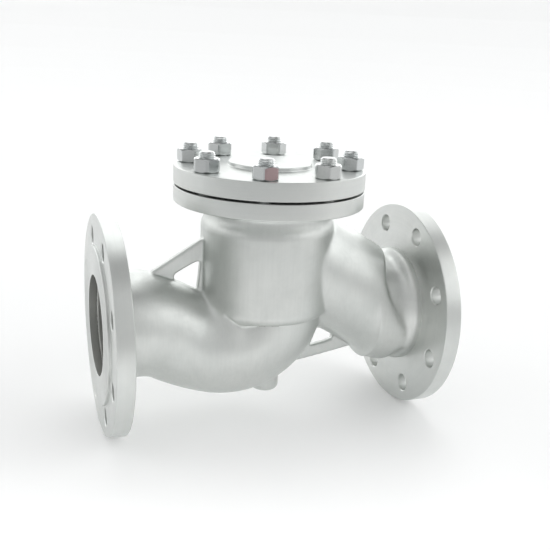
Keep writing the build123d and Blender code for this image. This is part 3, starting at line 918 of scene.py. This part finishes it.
# ------------------------------------------------------------------ stage, light, camera
FLOOR = -0.1101
bm = bmesh.new()
rings = []
for i in range(0, 25):
    rr = 0.0 if i == 0 else 0.12 * 1.22 ** i
    up = FLOOR + 1.9 * max(0.0, min(1.0, (rr - 3.0) / 11.2)) ** 2          # the sweep rises far out
    rings.append([bm.verts.new((0.175 + rr * math.cos(2 * math.pi * k / 48), rr * math.sin(2 * math.pi * k / 48), up))
                  for k in range(48)] if i else [bm.verts.new((0.175, 0, FLOOR))])
for k in range(48):
    bm.faces.new((rings[0][0], rings[1][k], rings[1][(k + 1) % 48]))
for A, B in zip(rings[1:], rings[2:]):
    for k in range(48):
        j = (k + 1) % 48
        bm.faces.new((A[k], B[k], B[j], A[j]))
me = bpy.data.meshes.new("floor")
bm.to_mesh(me)
bm.free()
floor = bpy.data.objects.new("floor", me)
bpy.context.scene.collection.objects.link(floor)
m = Mat("floor")
fn = m.noise(3.0, 3.0, 0.5)
sep = m.n("ShaderNodeSeparateXYZ")
m.l(m.co, sep.inputs[0])
# painted shade: the floor's colour falls from pale to mid grey towards the camera side, for the tent's light falling
# off in front
far = m.ramp(m.math("ADD", m.math("MULTIPLY", sep.outputs[0], -0.35), m.math("MULTIPLY", sep.outputs[1], -0.93)), 0.38, 1.05, 0.0, 1.0)
m.l(m.mix(far, m.mix(fn, (0.92, 0.92, 0.92), (0.95, 0.95, 0.95)), (0.50, 0.50, 0.50)), m.b.inputs["Base Color"])
m.b.inputs["Roughness"].default_value = 0.7
dist = m.n("ShaderNodeVectorMath", operation="DISTANCE")      # lit from below where the object stands
m.l(m.co, dist.inputs[0])
dist.inputs[1].default_value = (0.05, -0.35, FLOOR)
glow = m.n("ShaderNodeMapRange", interpolation_type="SMOOTHSTEP")
m.l(dist.outputs["Value"], glow.inputs[0])
for i, v in enumerate((0.10, 0.45, 0.33, 0.075)):
    glow.inputs[i + 1].default_value = v
m.b.inputs["Emission Color"].default_value = (1.0, 1.0, 1.0, 1.0)
m.l(glow.outputs[0], m.b.inputs["Emission Strength"])
give(floor, m.m)

world = bpy.data.worlds.new("studio")
bpy.context.scene.world = world
world.use_nodes = True
wt = world.node_tree
wt.nodes.clear()


def wn(kind, **kw):
    nd = wt.nodes.new(kind)
    for key, val in kw.items():
        setattr(nd, key, val)
    return nd


def wmath(op, a, b):
    nd = wn("ShaderNodeMath", operation=op)
    for sock, v in zip(nd.inputs, (a, b)):
        if isinstance(v, (int, float)):
            sock.default_value = v
        else:
            wt.links.new(v, sock)
    return nd.outputs[0]


def wramp(v, a, b, va, vb):
    nd = wn("ShaderNodeMapRange", interpolation_type="SMOOTHSTEP")
    wt.links.new(v, nd.inputs[0])
    for i, k in enumerate((a, b, va, vb)):
        nd.inputs[i + 1].default_value = k
    return nd.outputs[0]


def wdot(vec):
    nd = wn("ShaderNodeVectorMath", operation="DOT_PRODUCT")
    wt.links.new(wco.outputs["Generated"], nd.inputs[0])
    nd.inputs[1].default_value = vec
    return nd.outputs["Value"]


# A light tent made of soft panels.  Each row is (turn from the camera's side
# towards its right in degrees, height in degrees, reach in degrees, level).
PANELS = [
    (0, 6, 30, 0.35), (30, 6, 30, 0.35), (60, 6, 30, 0.35), (90, 6, 30, 0.35), (120, 6, 30, 0.49),
    (150, 6, 30, 2.05), (180, 6, 30, 1.20), (210, 6, 30, 1.60), (240, 6, 30, 1.35), (270, 6, 30, 0.98),
    (300, 6, 30, 0.40), (330, 6, 30, 0.35), (0, 32, 33, 0.22), (36, 32, 33, 0.32), (72, 32, 33, 1.16),
    (108, 32, 33, 1.06), (144, 32, 33, 0.22), (180, 32, 33, 0.55), (216, 32, 33, 0.40), (252, 32, 33, 0.22),
    (288, 32, 33, 0.50), (324, 32, 33, 0.32), (0, 60, 35, 0.48), (180, 60, 35, 1.48), (300, 60, 35, 0.42),
]
wco = wn("ShaderNodeTexCoord")
total = None
for turn_deg, height, reach, lit in PANELS:
    a, e = math.radians(turn_deg), math.radians(height)
    dx = -0.355 * math.cos(a) + 0.935 * math.sin(a)
    dy = -0.935 * math.cos(a) - 0.355 * math.sin(a)
    panel = wramp(wdot((dx * math.cos(e), dy * math.cos(e), math.sin(e))), math.cos(math.radians(reach)),
                  math.cos(math.radians(reach / 6.5)), 0.0, lit)
    total = panel if total is None else wmath("ADD", total, panel)
bg = wn("ShaderNodeBackground")
bg.inputs[0].default_value = (0.992, 1.0, 1.0, 1.0)
wt.links.new(total, bg.inputs[1])
wo = wn("ShaderNodeOutputWorld")
wt.links.new(bg.outputs[0], wo.inputs[0])


def area(name, loc, target, size, power, colour=(1, 1, 1), size_y=None):
    la = bpy.data.lights.new(name, "AREA")
    la.shape = "RECTANGLE"
    la.size = size
    la.size_y = size_y or size
    la.energy = power
    la.color = colour
    ob = bpy.data.objects.new(name, la)
    bpy.context.scene.collection.objects.link(ob)
    ob.location = loc
    d = Vector(target) - Vector(loc)
    ob.rotation_euler = d.to_track_quat("-Z", "Y").to_euler()
    ob.visible_camera = False
    return ob


area("top", (0.30, 0.35, 1.5), (0.175, 0, 0), 1.2, 0.6)

cam_data = bpy.data.cameras.new("camera")
cam_data.sensor_width = 36.0
cam_data.lens = 52.157
cam_data.clip_start = 0.05
cam_data.clip_end = 100.0
cam = bpy.data.objects.new("camera", cam_data)
bpy.context.scene.collection.objects.link(cam)
R0 = Vector((0.93863, -0.34186, 0.04597)).normalized()
D = Vector((0.33994, 0.89417, -0.29135)).normalized()
R1 = R0.cross(D).normalized()
C = Vector((-97.75, -746.39, 283.52)) * 0.001
cam.matrix_world = Matrix(((R0.x, R1.x, -D.x, C.x), (R0.y, R1.y, -D.y, C.y), (R0.z, R1.z, -D.z, C.z), (0, 0, 0, 1)))
bpy.context.scene.camera = cam
vs = bpy.context.scene.view_settings
vs.view_transform = "Standard"
vs.look = "None"
vs.exposure = 0.0
vs.gamma = 1.0
